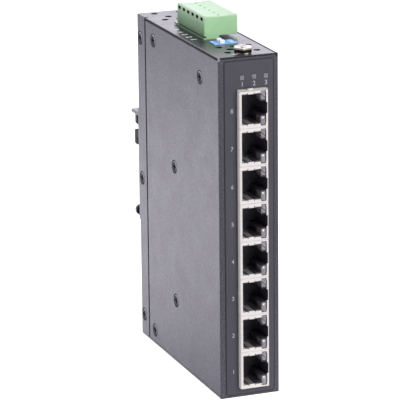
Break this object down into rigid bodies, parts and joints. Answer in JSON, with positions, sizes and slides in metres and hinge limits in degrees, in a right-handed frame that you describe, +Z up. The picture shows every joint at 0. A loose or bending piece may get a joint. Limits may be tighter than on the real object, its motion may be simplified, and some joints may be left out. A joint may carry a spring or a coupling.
{
  "type": "din rail ethernet switch",
  "caption": "Slim folded-steel network switch for a DIN rail, with a column of jacks in its front, a plug-in power terminal and option switch on top and a sprung rail clip behind.",
  "frame": {"origin": "centre of the case's bottom face, which the switch stands on", "axes": "+Z up along the height, +X across the width, the ports face -Y and the rail clip is on the +Y side"},
  "size_m": [0.0262, 0.1081, 0.154],
  "materials": {
    "case_paint": "satin dark grey coating",
    "label_film": "fine matt dark grey film",
    "black_screws": "black zinc",
    "board_laminate": "green solder mask",
    "plated_steel": "zinc plated",
    "gold_contact": "gold flashed",
    "clear_plastic": "frosted clear",
    "lamp_white": "gloss",
    "green_plastic": "pale green moulding",
    "tinned_pins": "tinned",
    "blue_plastic": "gloss blue moulding",
    "white_plastic": "gloss white moulding",
    "nickel_screw": "nickel plated",
    "clip_aluminium": "satin dark grey coating",
    "catch_plastic": "dark moulding",
    "spring_steel": "spring wire",
    "black_plastic": "black moulding",
    "sink_aluminium": "plain",
    "capacitor_can": "plain",
    "ferrite": "ferrite",
    "relay_case": "pale moulding",
    "fuse_body": "ceramic",
    "crystal_can": "plated can",
    "tinned_shield": "tinned sheet"
  },
  "bodies": {
    "case": {"board_screws": "plated_steel", "board_standoffs": "plated_steel", "capacitors": "capacitor_can", "catch_springs": "spring_steel", "chassis": "case_paint", "circuit_board": "board_laminate", "clip_nuts": "plated_steel", "clip_screws": "black_screws", "cover": "case_paint", "cover_screws": "black_screws", "crystal": "crystal_can", "dip_switch_body": "blue_plastic", "dip_switch_pins": "tinned_pins", "earth_nut": "plated_steel", "earth_screw": "nickel_screw", "earth_washer": "nickel_screw", "fault_relay": "relay_case", "front_label": "label_film", "fuse": "fuse_body", "header_pins": "tinned_pins", "heat_sink": "sink_aluminium", "memory_chip": "black_plastic", "port_contacts": "gold_contact", "port_insert_1": "black_plastic", "port_insert_2": "black_plastic", "port_insert_3": "black_plastic", "port_insert_4": "black_plastic", "port_insert_5": "black_plastic", "port_insert_6": "black_plastic", "port_insert_7": "black_plastic", "port_insert_8": "black_plastic", "port_lamps": "clear_plastic", "port_shield_1": "tinned_shield", "port_shield_2": "tinned_shield", "port_shield_3": "tinned_shield", "port_shield_4": "tinned_shield", "port_shield_5": "tinned_shield", "port_shield_6": "tinned_shield", "port_shield_7": "tinned_shield", "port_shield_8": "tinned_shield", "port_transformers": "black_plastic", "power_inductor": "ferrite", "rail_clip": "clip_aluminium", "rear_flange_screws": "black_screws", "status_leds": "lamp_white", "status_light_guide": "clear_plastic", "stop_pin": "plated_steel", "switch_chip": "black_plastic", "terminal_header": "green_plastic"},
    "plug": {"terminal_plug": "green_plastic", "clamp_screws": "plated_steel", "wire_clamps": "plated_steel"},
    "option_slider_1": {"dip_slider_1": "white_plastic"},
    "option_slider_2": {"dip_slider_2": "white_plastic"},
    "catch": {"rail_catch": "catch_plastic"}
  },
  "joints": [
    {"name": "plug_pull", "type": "slide", "parent": "case", "child": "plug", "axis": [0, 0, 1], "range_m": [0, 0.0105]},
    {"name": "option_slide_1", "type": "slide", "parent": "case", "child": "option_slider_1", "axis": [1, 0, 0], "range_m": [0, 0.0023]},
    {"name": "option_slide_2", "type": "slide", "parent": "case", "child": "option_slider_2", "axis": [1, 0, 0], "range_m": [0, 0.0023]},
    {"name": "catch_slide", "type": "slide", "parent": "case", "child": "catch", "axis": [0, 0, 1], "range_m": [0, 0.0035], "stiffness_N_per_m": 1500, "springref_m": -0.002, "deforming": ["catch_springs"]}
  ]
}
